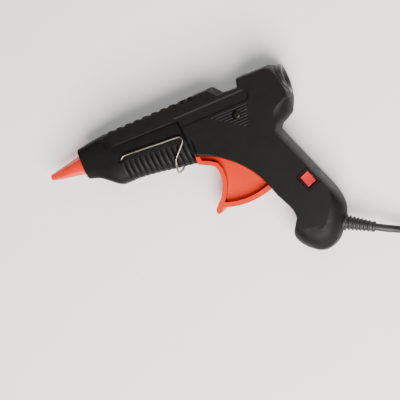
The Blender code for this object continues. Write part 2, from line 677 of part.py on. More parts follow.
def switch_rocker():
    """The rocker, tipped to its on side about its axle."""
    tilt = math.radians(ROCKER_TILT)
    section = [(-4.3, 1.7), (0.0, 0.9), (4.3, 1.7), (4.3, 0.2), (1.8, -1.5), (-1.8, -1.5), (-4.3, 0.2)]
    rings = []
    for across in (-3.4, 3.4):
        ring = []
        for along, up in section:
            tipped = along * math.cos(tilt) - up * math.sin(tilt)
            rise = along * math.sin(tilt) + up * math.cos(tilt)
            ring.append((*switch_point(across, tipped), ROCKER_AXLE_Z + rise))
        rings.append(ring)
    made = loft("switch_rocker", rings)
    axis = [(*switch_point(side, 0), ROCKER_AXLE_Z) for side in (-4.3, 4.3)]
    join(made, rod("axle", *axis, 0.7, 12))
    finish(made, "red", (*SWITCH_CENTRE, ROCKER_AXLE_Z))


# ---------------------------------------------------------------- inner wiring

# The way of the two heater wires on the left side, up the handle and forward under the trigger's hub
UP_HANDLE = ((174.5, -58.0, 10.3), (167.5, -45.0, 10.3), (160.0, -33.5, 10.3), (150.0, -27.0, 10.3))
TO_HEATER = (
    (134.5, -23.0, 10.3), (124.0, -19.6, 9.0), (116.0, -14.6, 7.0), (106.0, -13.2, 6.0),
    (98.0, -12.7, 3.6),
)


def cord_clamp():
    """The bar that holds the cord's inner end, under two screws."""
    places = clamp_screw_places()
    middle = Vector(cord_point(-14.0))
    across = (Vector((*places[1], 0)) - Vector((*places[0], 0))).normalized()
    along = Vector((across.y, -across.x, 0.0))
    corners = [middle + across * a + along * b for a, b in ((-9, -2.6), (9, -2.6), (9, 2.6), (-9, 2.6))]
    clamp = prism("cord_clamp", [(corner.x, corner.y) for corner in corners], 3.0, 5.0)
    for x, y in places:
        cut(clamp, rod("hole", (x, y, 0), (x, y, 9), 1.4, 12))
    finish(clamp, "nylon")


def inner_wires():
    """The cord's inner end, the wires to the switch and the heater, and the trigger's spring."""
    finish(rod("cord_inner", cord_point(-6.3), cord_point(-18.0), CORD_RADIUS, 14), "rubber")
    start, behind = Vector(cord_point(-18.6)), Vector(cord_point(-20.4))
    live_x, live_y = switch_point(0, 3.0)
    live = [
        (start.x, start.y, -1.2), (behind.x, behind.y, -1.6), (175.6, -94.4, -4.0), (176.6, -88.0, -9.0),
        (180.0, -80.0, -11.0), (live_x, live_y - 1.6, -11.2), (live_x, live_y, -8.9),
    ]
    load_x, load_y = switch_point(0, -3.0)
    load = [(load_x, load_y, -8.9), (load_x - 0.6, load_y + 1.5, -10.3)]
    load += [(x, y, -z) for x, y, z in UP_HANDLE + TO_HEATER] + [(91.8, -14.2, -3.0)]
    neutral = [
        (start.x, start.y, 1.2), (behind.x, behind.y, 1.8), (175.8, -93.0, 3.0), (174.4, -86.0, 3.4),
        (170.0, -76.0, 6.0), (168.0, -66.0, 9.6),
    ]
    neutral += list(UP_HANDLE[1:] + TO_HEATER) + [(91.8, -11.2, 3.0)]
    for name, route, colour in (
        ("wire_live", live, "wire_brown"), ("wire_load", load, "wire_brown"),
        ("wire_neutral", neutral, "wire_blue"),
    ):
        finish(wire(name, route, WIRE_RADIUS, 1, smooth_steps=3), colour)
    coil("return_spring", 143.4, 164.8, (-3.0, 9.9), 1.6, 0.4, 8)


# ---------------------------------------------------------------- cord

CORD_ROUTE = (
    cord_point(BOOT_LENGTH - 2.2), cord_point(26.0, -0.3), cord_point(31.0, -1.6), cord_point(37.0, -4.4),
    cord_point(43.0, -7.9), cord_point(49.0, -10.7), cord_point(55.0, CORD_LIE_Z),
    cord_point(60.5, CORD_LIE_Z), cord_point(66.0, CORD_LIE_Z),
)
COIL_CENTRE = (
    cord_point(COIL_TOUCH)[0] - OUTER_TURN * math.sin(math.radians(CORD_ANGLE)),
    cord_point(COIL_TOUCH)[1] + OUTER_TURN * math.cos(math.radians(CORD_ANGLE)),
)
PLUG_X = COIL_CENTRE[0] + TOP_TURN
PLUG_Y = COIL_CENTRE[1] + 53.5  # where the cord enters the plug
TAIL_ROUTE = (
    (PLUG_X, PLUG_Y - 24.0, -6.85), (PLUG_X, PLUG_Y - 18.5, -7.6), (PLUG_X, PLUG_Y - 12.0, -8.3),
    (PLUG_X, PLUG_Y - 6.0, -8.1), (PLUG_X, PLUG_Y - 0.3, PLUG_Z),
)


def strain_relief():
    """Ribbed rubber boot with a flange seated in the butt."""
    profile = [(-6.0, 4.2), (-1.3, 4.2), (-1.3, 6.0), (1.7, 6.0), (2.0, 4.6)]
    for rib in range(5):
        start = 4.0 + rib * 3.2
        high = 5.3 - rib * 0.25
        low = 4.5 - rib * 0.15
        profile += [(start, low), (start + 0.3, high), (start + 1.6, high), (start + 1.9, low - 0.1)]
    profile.append((BOOT_LENGTH - 2.5, 3.7))
    made = turned("strain_relief", cord_point(0), cord_point(1), profile, 16)
    finish(made, "rubber")


def cord():
    """The lead along the bench, its neat coil, the short tail and the plug."""
    finish(wire("cord_lead", CORD_ROUTE, CORD_RADIUS, 2, smooth_steps=2), "rubber")
    inner, outer = INNER_TURN - CORD_RADIUS - 0.2, OUTER_TURN + CORD_RADIUS + 0.2
    top, edge = COIL_HEIGHT, 1.5
    profile = [
        (0.0, inner + edge), (edge, inner), (top - edge, inner), (top, inner + edge),
        (top, outer - edge), (top - edge, outer), (edge, outer), (0.0, outer - edge),
    ]
    base = (*COIL_CENTRE, BENCH_Z + 0.02)
    ring = turned("cord_coil", base, (base[0], base[1], base[2] + 1), profile, 36, bored=True)
    finish(ring, "rubber")
    finish(wire("cord_tail", TAIL_ROUTE, CORD_RADIUS, 2, smooth_steps=2), "rubber")


def plug():
    """Flat two-pin plug: a moulded body that tapers to the cord, and two round pins."""
    sections = (
        (0.0, 4.0, 4.0), (12.0, 5.0, 5.0), (17.0, 9.5, 6.6), (24.0, 16.0, 6.9), (33.0, 17.6, 6.9),
        (PLUG_LENGTH, 17.2, 6.6),
    )
    rings = []
    for distance, half_wide, half_thick in sections:
        bevel = min(half_wide, half_thick) * 0.45
        ring = []
        for sx, sz in ((1, 1), (-1, 1), (-1, -1), (1, -1)):
            first = (sx * half_wide, sz * (half_thick - bevel))
            second = (sx * (half_wide - bevel), sz * half_thick)
            pair = (first, second) if sx * sz > 0 else (second, first)
            ring += [(PLUG_X + dx, PLUG_Y + distance, PLUG_Z + dz) for dx, dz in pair]
        rings.append(ring)
    finish(loft("plug_body", rings), "rubber")
    for i, side in enumerate((-9.3, 9.3)):
        x = PLUG_X + side
        y = PLUG_Y + PLUG_LENGTH + GAP
        profile = [(0.0, 2.0), (17.5, 2.0), (19.0, 1.2)]
        finish(turned(f"plug_pin_{i + 1}", (x, y, PLUG_Z), (x, y + 1, PLUG_Z), profile, 14), "brass")


# ---------------------------------------------------------------- whole gun

def main():
    for existing in list(bpy.data.objects):
        bpy.data.objects.remove(existing)
    frame = bpy.data.objects.new("gun_frame", None)
    frame.location = GUN_TO_WORLD * MM
    bpy.context.scene.collection.objects.link(frame)
    housing()
    screws()
    nozzle_cover()
    nozzle()
    check_valve()
    melt_chamber()
    heater()
    inlet_sleeve()
    inlet_ring()
    feed_carriage()
    grip_jaw()
    trigger()
    wire_stand()
    switch()
    switch_rocker()
    strain_relief()
    cord_clamp()
    inner_wires()
    cord()
    plug()
    bpy.context.view_layer.update()


main()
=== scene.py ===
"""Looks of a hot-melt glue gun that lies on its right side, with its lead coiled beside it.

Places are in millimetres in the gun's own frame, and at() turns them into metres on the bench:
X runs along the barrel from the nozzle's tip to the rear, Y is the gun's top, and Z comes out of
its left side.
"""

import math

import bmesh
import bpy
from mathutils import Matrix, Vector


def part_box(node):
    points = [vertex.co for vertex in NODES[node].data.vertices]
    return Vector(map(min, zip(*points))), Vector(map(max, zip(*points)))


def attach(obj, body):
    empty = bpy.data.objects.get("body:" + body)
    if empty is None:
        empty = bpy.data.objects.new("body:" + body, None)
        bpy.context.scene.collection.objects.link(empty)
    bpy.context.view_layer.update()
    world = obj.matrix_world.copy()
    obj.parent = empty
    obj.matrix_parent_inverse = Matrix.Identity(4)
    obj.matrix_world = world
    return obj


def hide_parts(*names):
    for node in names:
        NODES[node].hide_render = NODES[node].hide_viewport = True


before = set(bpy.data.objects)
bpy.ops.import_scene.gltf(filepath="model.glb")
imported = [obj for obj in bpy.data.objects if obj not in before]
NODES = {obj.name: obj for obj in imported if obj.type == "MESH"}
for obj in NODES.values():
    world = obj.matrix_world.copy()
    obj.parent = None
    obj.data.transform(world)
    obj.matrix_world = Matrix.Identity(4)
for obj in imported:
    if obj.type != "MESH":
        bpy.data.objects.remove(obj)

bl_info = {
    "name": "Glue Gun",
    "version": (1, 0, 0),
    "blender": (4, 5, 0),
    "location": "View3D > Sidebar > Glue Gun",
    "description": "Builds the housing, trigger, nozzle cover, stand, switch and lead of a glue gun",
    "category": "Object",
}

MM = 0.001
FULL_TURN = 2 * math.pi
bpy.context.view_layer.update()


def gun_origin():
    """The nozzle tip's centre on the bench, taken from the nozzle."""
    low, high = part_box("nozzle")
    return Vector((low.x, (low.y + high.y) / 2, (low.z + high.z) / 2))


ORIGIN = gun_origin()


def at(x, y, z=0.0):
    """A place in the gun's frame, in millimetres, as metres on the bench."""
    return ORIGIN + Vector((x, y, z)) * MM


def linear(code):
    """The linear RGB of an sRGB hex colour."""
    parts = [int(code[i:i + 2], 16) / 255 for i in (1, 3, 5)]
    return tuple(c / 12.92 if c <= 0.04045 else ((c + 0.055) / 1.055) ** 2.4 for c in parts)


# ---------------------------------------------------------------- sizes and colours

def length(name, description, millimetres):
    """A property that holds a length, shown in the scene's unit."""
    return bpy.props.FloatProperty(
        name=name, description=description, default=millimetres * MM, min=0.0, unit="LENGTH",
        subtype="DISTANCE", precision=5,
    )


def colour(name, description, code):
    """A property that holds a colour."""
    return bpy.props.FloatVectorProperty(
        name=name, description=description, default=linear(code), size=3, min=0.0, max=1.0,
        subtype="COLOR",
    )


class GlueGunSizes(bpy.types.PropertyGroup):
    rib_pitch: length("Rib pitch", "From one grip rib of the barrel's belly to the next", 4.08)
    rib_groove: length("Rib groove", "Depth of the grooves between the belly's ribs", 1.15)
    scallop_pitch: length("Scallop pitch", "From one scallop of the top ridge to the next", 7.1)
    scallop_depth: length("Scallop depth", "Depth of the notches between the scallops", 1.7)
    panel_depth: length("Panel depth", "How deep the side panel is set in", 0.55)
    line_pitch: length("Line pitch", "From one fine line of the side's hatching to the next", 1.95)
    trigger_edge: length("Trigger edge", "Radius of the trigger's edges", 0.9)
    wire_diameter: length("Wire diameter", "Diameter of the stand's spring wire", 1.6)
    cord_diameter: length("Cord diameter", "Outer diameter of the lead", 5.4)
    cord_length: length("Cord length", "Length of the lead from the gun to the plug", 1380.0)


class GlueGunColours(bpy.types.PropertyGroup):
    housing: colour("Housing", "Black ABS of the two housing halves", "#0d0c0b")
    trigger: colour("Trigger", "Orange ABS of the trigger", "#cf2a00")
    nozzle_cover: colour("Nozzle cover", "Orange silicone of the nozzle cover", "#dd2708")
    rocker: colour("Rocker", "Red polycarbonate of the rocker", "#cc1f25")
    cord: colour("Lead", "Black PVC of the lead, its strain relief and its plug", "#1a1a1b")


def sizes():
    return bpy.context.scene.glue_gun_sizes


def colours():
    return bpy.context.scene.glue_gun_colours


# ---------------------------------------------------------------- materials

def add_node(tree, kind, settings=None, **links):
    """A shader node with its settings, and its inputs set to a value or linked from a socket.

    An input's name is written with _ for a space; a name that ends in a number picks the input by place.
    """
    node = tree.nodes.new(kind)
    for name, value in (settings or {}).items():
        setattr(node, name, value)
    for name, value in links.items():
        key = int(name[5:]) if name.startswith("input") else name.replace("_", " ")
        socket = node.inputs[key]
        if isinstance(value, bpy.types.NodeSocket):
            tree.links.new(value, socket)
        else:
            socket.default_value = value
    return node


def new_material(name, **values):
    """A material with one Principled shader, its constant sockets set."""
    made = bpy.data.materials.new(name)
    made.use_nodes = True
    shader = made.node_tree.nodes["Principled BSDF"]
    for key, value in values.items():
        if key == "Base_Color":
            value = (*value, 1.0)
        shader.inputs[key.replace("_", " ")].default_value = value
    return made, made.node_tree, shader


def grain(tree, size_mm, detail=2.0, stretch=(1.0, 1.0, 1.0)):
    """Noise on the object's own coordinates whose grains are about size_mm across."""
    coordinates = add_node(tree, "ShaderNodeTexCoord")
    mapping = add_node(tree, "ShaderNodeMapping", Vector=coordinates.outputs["Object"], Scale=stretch)
    return add_node(
        tree, "ShaderNodeTexNoise", Vector=mapping.outputs["Vector"], Scale=1 / (size_mm * MM),
        Detail=detail,
    ).outputs["Fac"]


def spread(tree, source, low, high):
    """A noise value stretched to run from low to high."""
    return add_node(
        tree, "ShaderNodeMapRange", Value=source, From_Min=0.3, From_Max=0.7, To_Min=low, To_Max=high,
    ).outputs["Result"]


def tinted(tree, source, dark, light):
    """A colour that runs from dark to light with a value from 0 to 1."""
    return add_node(
        tree, "ShaderNodeMix", {"data_type": "RGBA"}, input0=source, input6=(*dark, 1.0),
        input7=(*light, 1.0),
    ).outputs[2]


def bump(tree, shader, source, height_mm, strength=1.0):
    """Relief of the stated height, linked to the shader's normal."""
    node = add_node(
        tree, "ShaderNodeBump", Height=source, Distance=height_mm * MM, Strength=strength,
    )
    tree.links.new(node.outputs["Normal"], shader.inputs["Normal"])


def shaded(colour_value, factor):
    return tuple(min(1.0, c * factor) for c in colour_value)


def plastic(name, base, roughness, grain_mm, relief_mm, specular=0.5, vary=0.12, rough_vary=0.06):
    """A moulded plastic: spark-eroded grain, and faint cloudiness in its colour and its gloss."""
    made, tree, shader = new_material(
        name, Base_Color=base, IOR=1.5, Specular_IOR_Level=specular, Roughness=roughness,
    )
    clouds = grain(tree, 14.0, detail=3.0)
    tint = tinted(tree, spread(tree, clouds, 0.0, 1.0), shaded(base, 1 - vary), shaded(base, 1 + vary))
    tree.links.new(tint, shader.inputs["Base Color"])
    patches = grain(tree, 5.0, detail=4.0)
    gloss = spread(tree, patches, roughness - rough_vary, roughness + rough_vary)
    tree.links.new(gloss, shader.inputs["Roughness"])
    bump(tree, shader, grain(tree, grain_mm), relief_mm, 0.5)
    return made


def housing_abs():
    """Black ABS from a spark-eroded tool: a satin surface that goes warm grey where light grazes it."""
    return plastic("abs_black_spark_eroded", tuple(colours().housing), 0.5, 0.45, 0.02, specular=0.14)


def trigger_abs():
    """Orange ABS from a polished tool: smooth, satin gloss, even colour."""
    return plastic("abs_orange_satin", tuple(colours().trigger), 0.45, 0.8, 0.006, specular=0.2, vary=0.03)


def nozzle_silicone():
    """Orange silicone rubber: light goes a little way in, and a bloom makes turned-away flats paler."""
    made, tree, shader = new_material(
        "silicone_orange_moulded", IOR=1.41, Roughness=0.34, Subsurface_Weight=0.2,
        Subsurface_Radius=(1.0, 0.2, 0.08), Subsurface_Scale=1.5 * MM, Sheen_Weight=0.55,
        Sheen_Roughness=0.28, Sheen_Tint=(*linear("#ffb592"), 1.0),
    )
    base = tuple(colours().nozzle_cover)
    streaks = spread(tree, grain(tree, 6.0, stretch=(0.25, 1.0, 1.0)), 0.0, 1.0)
    tint = tinted(tree, streaks, shaded(base, 0.8), shaded(base, 1.12))
    tree.links.new(tint, shader.inputs["Base Color"])
    bump(tree, shader, grain(tree, 1.5), 0.02, 0.4)
    return made


def rocker_polycarbonate():
    """Red polycarbonate from a polished tool: clear gloss over a deep colour."""
    made = plastic("polycarbonate_red_polished", tuple(colours().rocker), 0.18, 1.5, 0.003, vary=0.05)
    shader = made.node_tree.nodes["Principled BSDF"]
    shader.inputs["Coat Weight"].default_value = 0.5
    shader.inputs["Coat Roughness"].default_value = 0.08
    return made


def soft_pvc(name, base, roughness=0.5):
    """Soft PVC, extruded or moulded: matt, with a faint oily bloom."""
    return plastic(name, base, roughness, 0.9, 0.02, vary=0.2, rough_vary=0.09)


def metal(name, code, roughness, brush_mm=0.0, relief_mm=0.004, patch_mm=1.2):
    """A bare metal whose gloss varies with fine tool marks brush_mm apart, or with small dulled patches."""
    base = linear(code)
    made, tree, shader = new_material(name, Base_Color=base, Metallic=1.0, Roughness=roughness)
    stretch = (0.15, 1.0, 1.0) if brush_mm else (1.0, 1.0, 1.0)
    marks = grain(tree, brush_mm or patch_mm, stretch=stretch)
    tree.links.new(spread(tree, marks, roughness * 0.7, roughness * 1.4), shader.inputs["Roughness"])
    dull = spread(tree, grain(tree, 2.5 * patch_mm, detail=3.0), 0.0, 1.0)
    tint = tinted(tree, dull, shaded(base, 0.86), shaded(base, 1.05))
    tree.links.new(tint, shader.inputs["Base Color"])
    if relief_mm:
        bump(tree, shader, marks, relief_mm, 0.4)
    return made


def bright_wire():
    """Nickel-plated spring wire: drawn, then plated, so it is bright with faint marks along it."""
    return metal("nickel_plated_spring_wire", "#77726b", 0.3, relief_mm=0.0, patch_mm=9.0)


THREAD_PITCH = 0.8           # of the glass cloth's weave


def glass_cloth():
    """Varnished glass cloth: a plain weave of threads under amber varnish."""
    made, tree, shader = new_material("glass_cloth_varnished", Roughness=0.45, IOR=1.5)
    coordinates = add_node(tree, "ShaderNodeTexCoord")
    waves = [
        add_node(
            tree, "ShaderNodeTexWave", {"wave_type": "BANDS", "bands_direction": way},
            Vector=coordinates.outputs["Object"], Scale=0.3 / (THREAD_PITCH * MM), Distortion=0.6,
        ).outputs["Fac"]
        for way in ("X", "Z")
    ]
    weave = add_node(tree, "ShaderNodeMath", {"operation": "MULTIPLY"}, input0=waves[0], input1=waves[1])
    tint = tinted(tree, weave.outputs["Value"], linear("#8f7a4a"), linear("#d9c99a"))
    tree.links.new(tint, shader.inputs["Base Color"])
    bump(tree, shader, weave.outputs["Value"], 0.1, 0.5)
    return made


def natural_nylon(name, code):
    """Undyed nylon or silicone: milky, with light scattered a little way in."""
    made = plastic(name, linear(code), 0.42, 0.7, 0.01, vary=0.05)
    shader = made.node_tree.nodes["Principled BSDF"]
    shader.inputs["Subsurface Weight"].default_value = 0.3
    shader.inputs["Subsurface Radius"].default_value = (1.0, 0.8, 0.6)
    shader.inputs["Subsurface Scale"].default_value = 1.5 * MM
    return made


def finishes():
    """Every finish of the gun by the material slot that the record gives it."""
    return {
        "housing_abs": housing_abs(),
        "orange_silicone": nozzle_silicone(),
        "orange_plastic": trigger_abs(),
        "red_plastic": rocker_polycarbonate(),
        "black_nylon": plastic("nylon_black_moulded", linear("#191919"), 0.4, 0.6, 0.01),
        "natural_nylon": natural_nylon("nylon_natural_moulded", "#d6d0c0"),
        "bright_wire": bright_wire(),
        "bright_steel": metal("steel_ground", "#b9b9b6", 0.28, brush_mm=0.4),
        "spring_steel": metal("spring_steel_oiled", "#7d7a75", 0.35),
        "zinc_steel": metal("steel_zinc_plated", "#c3c2bb", 0.3),
        "blackened_steel": metal("steel_blackened", "#2b2a28", 0.38),
        "brass": metal("brass_machined", "#c9a35c", 0.27, brush_mm=0.5),
        "cast_aluminium": metal("aluminium_die_cast", "#a9a9a7", 0.5, relief_mm=0.03),
        "ceramic": plastic("heater_ceramic_sintered", linear("#6b665f"), 0.7, 0.5, 0.03),
        "insulating_cloth": glass_cloth(),
        "white_silicone": natural_nylon("silicone_natural_moulded", "#dcd8d0"),
        "cord_rubber": soft_pvc("pvc_black_soft", tuple(colours().cord)),
        "brown_wire": soft_pvc("pvc_brown_insulation", linear("#5a3422"), 0.4),
        "blue_wire": soft_pvc("pvc_blue_insulation", linear("#2f5fae"), 0.4),
    }


FINISHES = {}


def give_finish(piece, slot):
    """Gives a new piece the finish of a record slot."""
    piece.data.materials.clear()
    piece.data.materials.append(FINISHES[slot])


# ---------------------------------------------------------------- modelling

def only(piece):
    """Selects one object and makes it active, in object mode."""
    if bpy.context.object and bpy.context.object.mode != "OBJECT":
        bpy.ops.object.mode_set(mode="OBJECT")
    bpy.ops.object.select_all(action="DESELECT")
    piece.select_set(True)
    bpy.context.view_layer.objects.active = piece


def edit(piece, select="ALL", kind="VERT"):
    """Enters edit mode on a piece with everything or nothing selected."""
    only(piece)
    bpy.ops.object.mode_set(mode="EDIT")
    bpy.ops.mesh.select_mode(type=kind)
    bpy.ops.mesh.select_all(action="SELECT" if select == "ALL" else "DESELECT")


def done(piece):
    """Leaves edit mode with the normals facing out, and puts the object back at the origin."""
    bpy.ops.mesh.select_all(action="SELECT")
    bpy.ops.mesh.normals_make_consistent(inside=False)
    bpy.ops.object.mode_set(mode="OBJECT")
    only(piece)
    bpy.ops.object.transform_apply(location=True, rotation=True, scale=True)
    return piece


def ring_of(name, places, filled):
    """A flat ring of vertices moved to the places given: the start of a plate or a turned piece."""
    bpy.ops.object.select_all(action="DESELECT")
    bpy.ops.mesh.primitive_circle_add(vertices=len(places), fill_type="NGON" if filled else "NOTHING")
    piece = bpy.context.object
    piece.name = piece.data.name = name
    for vertex, place in zip(piece.data.vertices, places):
        vertex.co = place
    return piece


def plate(name, outline, z_low, z_high):
    """An outline in the gun's XY plane, extruded from one height to another."""
    piece = ring_of(name, [at(x, y, z_low) for x, y in outline], filled=True)
    edit(piece)
    rise = (0.0, 0.0, (z_high - z_low) * MM)
    bpy.ops.mesh.extrude_region_move(TRANSFORM_OT_translate={"value": rise})
    return done(piece)


def turned(name, start, towards, profile, steps):
    """A closed profile of (distance, radius) in mm, spun about the line from start towards a place."""
    axis = (towards - start).normalized()
    across = Vector((0.0, 0.0, 1.0)) if abs(axis.z) < 0.5 else Vector((1.0, 0.0, 0.0))
    places = [start + axis * distance * MM + across * radius * MM for distance, radius in profile]
    piece = ring_of(name, places, filled=False)
    edit(piece)
    bpy.ops.mesh.spin(steps=steps, angle=FULL_TURN, center=start, axis=axis)
    bpy.ops.mesh.select_all(action="SELECT")
    bpy.ops.mesh.remove_doubles(threshold=0.002 * MM)
    return done(piece)


def apply_modifier(piece, kind, **settings):
    """Adds a modifier to a piece and applies it."""
    only(piece)
    bpy.ops.object.modifier_add(type=kind)
    modifier = piece.modifiers[-1]
    for name, value in settings.items():
        setattr(modifier, name, value)
    bpy.ops.object.modifier_apply(modifier=modifier.name)


def merged_copy(node, name):
    """A copy of a CAD node with its loose triangles welded, to be worked on."""
    piece = NODES[node].copy()
    piece.data = NODES[node].data.copy()
    piece.name = piece.data.name = name
    piece.parent = None
    for key in list(piece.keys()):
        del piece[key]
    bpy.context.scene.collection.objects.link(piece)
    only(piece)
    if piece.data.has_custom_normals:
        bpy.ops.mesh.customdata_custom_splitnormals_clear()
    edit(piece)
    bpy.ops.mesh.remove_doubles(threshold=0.004 * MM)
    bpy.ops.object.mode_set(mode="OBJECT")
    return piece


def flatten(piece, degrees=0.4):
    """Turns the triangles of each flat face back into one face."""
    edit(piece)
    bpy.ops.mesh.dissolve_limited(angle_limit=math.radians(degrees))
    bpy.ops.object.mode_set(mode="OBJECT")


def soften(piece, width_mm, segments=3, corner=30.0):
    """Rounds a piece's sharp edges."""
    apply_modifier(
        piece, "BEVEL", width=width_mm * MM, segments=segments, limit_method="ANGLE",
        angle_limit=math.radians(corner), use_clamp_overlap=True, miter_outer="MITER_ARC",
    )


def smooth(piece, degrees, weighted=True):
    """Smooth shading up to a corner's angle, with large flat faces kept flat."""
    only(piece)
    bpy.ops.object.shade_smooth_by_angle(angle=math.radians(degrees))
    if weighted:
        apply_modifier(piece, "WEIGHTED_NORMAL", keep_sharp=True, weight=50, mode="FACE_AREA")


def arc(centre, radius, start, end, steps):
    """Points on an arc in the gun's XY plane; angles in degrees."""
    turns = [math.radians(start + (end - start) * i / steps) for i in range(steps + 1)]
    return [(centre[0] + radius * math.cos(t), centre[1] + radius * math.sin(t)) for t in turns]


def place(piece, body, slot, *nodes):
    """Gives a finished piece its finish and its body, and hides the CAD nodes that it stands for."""
    give_finish(piece, slot)
    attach(piece, body)
    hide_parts(*nodes)


def skin(name, rows, capped=True):
    """A grid primitive whose rows of points are placed as rings, which makes a tube along them."""
    rows = [list(row) + [row[0]] for row in rows]
    bpy.ops.object.select_all(action="DESELECT")
    bpy.ops.mesh.primitive_grid_add(x_subdivisions=len(rows[0]) - 1, y_subdivisions=len(rows) - 1)
    piece = bpy.context.object
    piece.name = piece.data.name = name
    for vertex, spot in zip(piece.data.vertices, [spot for row in rows for spot in row]):
        vertex.co = spot
    edit(piece)
    bpy.ops.mesh.remove_doubles(threshold=0.001 * MM)
    if capped:
        bpy.ops.mesh.select_all(action="SELECT")
        bpy.ops.mesh.fill_holes(sides=0)
    return done(piece)


def joined(pieces, name):
    """Several pieces as one object."""
    only(pieces[0])
    for piece in pieces[1:]:
        piece.select_set(True)
    bpy.ops.object.join()
    pieces[0].name = pieces[0].data.name = name
    return pieces[0]


def round_wire(name, route, diameter, resolution):
    """A round wire or lead along a line of places in the gun's frame."""
    curve = bpy.data.curves.new(name, "CURVE")
    curve.dimensions = "3D"
    curve.bevel_depth = diameter / 2
    curve.bevel_resolution = resolution
    curve.use_fill_caps = True
    spline = curve.splines.new("POLY")
    spline.points.add(len(route) - 1)
    for point, spot in zip(spline.points, route):
        point.co = (*at(*spot), 1.0)
    spline.use_smooth = True
    piece = bpy.data.objects.new(name, curve)
    bpy.context.scene.collection.objects.link(piece)
    return piece


def flowing(points, steps):
    """A smooth line through points in millimetres, with steps to each stretch."""
    ends = [points[0]] + list(points) + [points[-1]]
    made = []
    for i in range(1, len(ends) - 2):
        before, here, there, after = (Vector(ends[i + k]) for k in (-1, 0, 1, 2))
        for step in range(steps):
            t = step / steps
            made.append(tuple(
                ((2 * here) + (there - before) * t + (2 * before - 5 * here + 4 * there - after) * t ** 2
                 + (3 * here - before - 3 * there + after) * t ** 3) / 2
            ))
    made.append(tuple(points[-1]))
    return made


def eased(value, start, end):
    """0 before start, 1 after end, and a smooth rise between them."""
    share = min(1.0, max(0.0, (value - start) / (end - start)))
    return share * share * (3 - 2 * share)


# ---------------------------------------------------------------- the lead's way

LEAD_EXIT = (190.6, -108.4)
LEAD_ANGLE = math.radians(-29.8)
LEAD_RADIUS = 2.7
LEAD_LIE = -12.25            # height of the lead's middle where it lies on the bench
UPPER_LIE = LEAD_LIE + 2 * LEAD_RADIUS
BOOT_END = 21.5              # length of the strain relief outside the housing
COIL_TOUCH = 88.0            # where the lead meets the coil's outermost turn
OUTER_TURN = 40.8            # radius of the coil's outermost turn
TURN_STEP = 2 * LEAD_RADIUS
COIL_START = 240.2           # degrees about the coil's centre, where the lead is tangent to it
COIL_END = 7 * 360.0
COIL_STEP = 10.0             # degrees between places along the coil
CLIMB = (1575.0, 1635.0)     # degrees over which the innermost turn climbs to the upper layer
# Degrees at which the lead shifts a turn inwards (-1) or outwards (1)
TURN_SHIFTS = ((555.0, -1), (915.0, -1), (1275.0, -1), (1895.0, 1), (2255.0, 1))
SHIFT_SWEEP = 40.0           # degrees that a shift takes
LEVEL_RUN = 76.0             # distance from the strain relief at which the lead lies flat and straight


def along_lead(distance, z=0.0):
    """A place on the line in which the strain relief points, in millimetres."""
    return (
        LEAD_EXIT[0] + distance * math.cos(LEAD_ANGLE), LEAD_EXIT[1] + distance * math.sin(LEAD_ANGLE), z,
    )


COIL_CENTRE = (
    along_lead(COIL_TOUCH)[0] - OUTER_TURN * math.sin(LEAD_ANGLE),
    along_lead(COIL_TOUCH)[1] + OUTER_TURN * math.cos(LEAD_ANGLE),
)
PLUG_X = COIL_CENTRE[0] + OUTER_TURN - TURN_STEP
PLUG_Y = COIL_CENTRE[1] + 53.5   # where the lead enters the plug
PLUG_Z = -7.95


def coil_point(degrees):
    """The lead's middle at an angle of its winding."""
    radius = OUTER_TURN
    for start, way in TURN_SHIFTS:
        radius += way * TURN_STEP * eased(degrees, start, start + SHIFT_SWEEP)
    turn = math.radians(degrees)
    z = LEAD_LIE + TURN_STEP * eased(degrees, *CLIMB)
    return (COIL_CENTRE[0] + radius * math.cos(turn), COIL_CENTRE[1] + radius * math.sin(turn), z)


def lead_route():
    """The lead's middle line from inside the strain relief to inside the plug."""
    out = [along_lead(12.0), along_lead(BOOT_END)]
    out += [along_lead(*pair) for pair in (
        (26.0, -0.3), (31.0, -1.6), (37.0, -4.4), (43.0, -7.9), (49.0, -10.7), (55.0, LEAD_LIE),
        (60.5, LEAD_LIE), (66.0, LEAD_LIE), (LEVEL_RUN, LEAD_LIE),
    )]
    steps = int((COIL_END - COIL_START) / COIL_STEP)
    turns = [COIL_START + (COIL_END - COIL_START) * i / steps for i in range(steps + 1)]
    tail = [
        (PLUG_X, PLUG_Y - 48.0, UPPER_LIE), (PLUG_X, PLUG_Y - 36.0, UPPER_LIE),
        (PLUG_X, PLUG_Y - 24.0, -6.85), (PLUG_X, PLUG_Y - 18.5, -7.6), (PLUG_X, PLUG_Y - 12.0, -8.3),
        (PLUG_X, PLUG_Y - 6.0, -8.1), (PLUG_X, PLUG_Y - 0.3, PLUG_Z),
    ]
    last = coil_point(COIL_END)
    coil = [along_lead(LEVEL_RUN, LEAD_LIE)] + [coil_point(degrees) for degrees in turns]
    return flowing(out, 4)[:-1] + coil + flowing([last] + tail, 3)[1:]


# ---------------------------------------------------------------- stage and camera

CAMERA_PLACE = (320.5, -30.0, 769.0)
CAMERA_AIM = (99.4, -56.2, 0.0)
CAMERA_TILT = math.radians(16.0)   # how far the camera leans towards the gun's rear
CAMERA_ROLL = math.radians(22.5)


